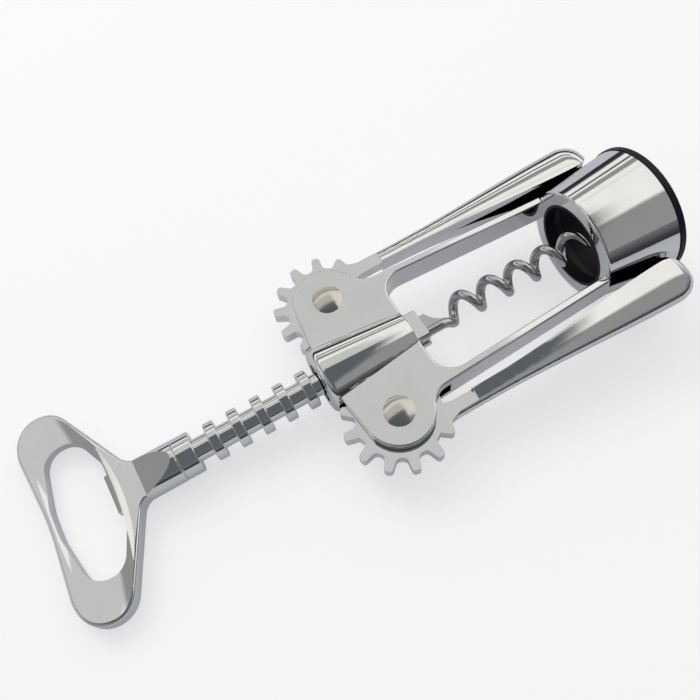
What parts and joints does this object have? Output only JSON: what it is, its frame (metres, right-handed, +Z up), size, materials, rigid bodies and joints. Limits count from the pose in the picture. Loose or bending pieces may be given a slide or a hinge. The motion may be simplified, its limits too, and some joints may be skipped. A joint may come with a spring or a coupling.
{
  "type": "wing corkscrew",
  "caption": "Chromed wing corkscrew: a bell on the bottle's neck, a wire worm on a ringed rack, toothed side levers that lift it, and a handle with a cap lifter.",
  "frame": {"origin": "middle of the footprint on the surface that the tool lies on", "axes": "+X from the handle to the bell along the surface, +Y across towards the right lever, +Z up. The tool's own axis rises from the handle to the bell by 5.2 degrees"},
  "size_m": [0.1784, 0.0664, 0.0374],
  "materials": {
    "chrome_casting": "polished chrome on a zinc casting",
    "steel_wire": "polished steel wire",
    "nickel_rivet": "satin nickel",
    "black_liner": "black, fine satin"
  },
  "bodies": {
    "body": {"frame": "chrome_casting", "bell": "chrome_casting", "bell_liner": "black_liner", "pivot_rivet_right": "nickel_rivet", "pivot_rivet_left": "nickel_rivet"},
    "carriage": {"shaft_collar": "chrome_casting"},
    "screw": {"handle": "chrome_casting", "rack_shaft": "chrome_casting", "worm": "steel_wire"},
    "lever_right": {"lever_right": "chrome_casting"},
    "lever_left": {"lever_left": "chrome_casting"}
  },
  "joints": [
    {"name": "rack_slide", "type": "slide", "parent": "body", "child": "carriage", "axis": [0.9958, 0, 0.0911], "range_m": [0, 0.0353]},
    {"name": "screw_spin", "type": "hinge", "parent": "carriage", "child": "screw", "pos_m": [-0.0007, 0, 0.01057], "axis": [0.9958, 0, 0.0911], "continuous": true},
    {"name": "lever_right_hinge", "type": "hinge", "parent": "body", "child": "lever_right", "pos_m": [-0.0007, 0.01862, 0.01057], "axis": [-0.0911, 0, 0.9958], "range_deg": [0, 148.4]},
    {"name": "lever_left_hinge", "type": "hinge", "parent": "body", "child": "lever_left", "pos_m": [-0.0007, -0.01862, 0.01057], "axis": [-0.0911, 0, 0.9958], "range_deg": [-148.4, 0]}
  ],
  "couplings": [
    {"joint": "lever_right_hinge", "follows": "rack_slide", "rad_per_m": 73.231},
    {"joint": "lever_left_hinge", "follows": "rack_slide", "rad_per_m": -73.231}
  ]
}
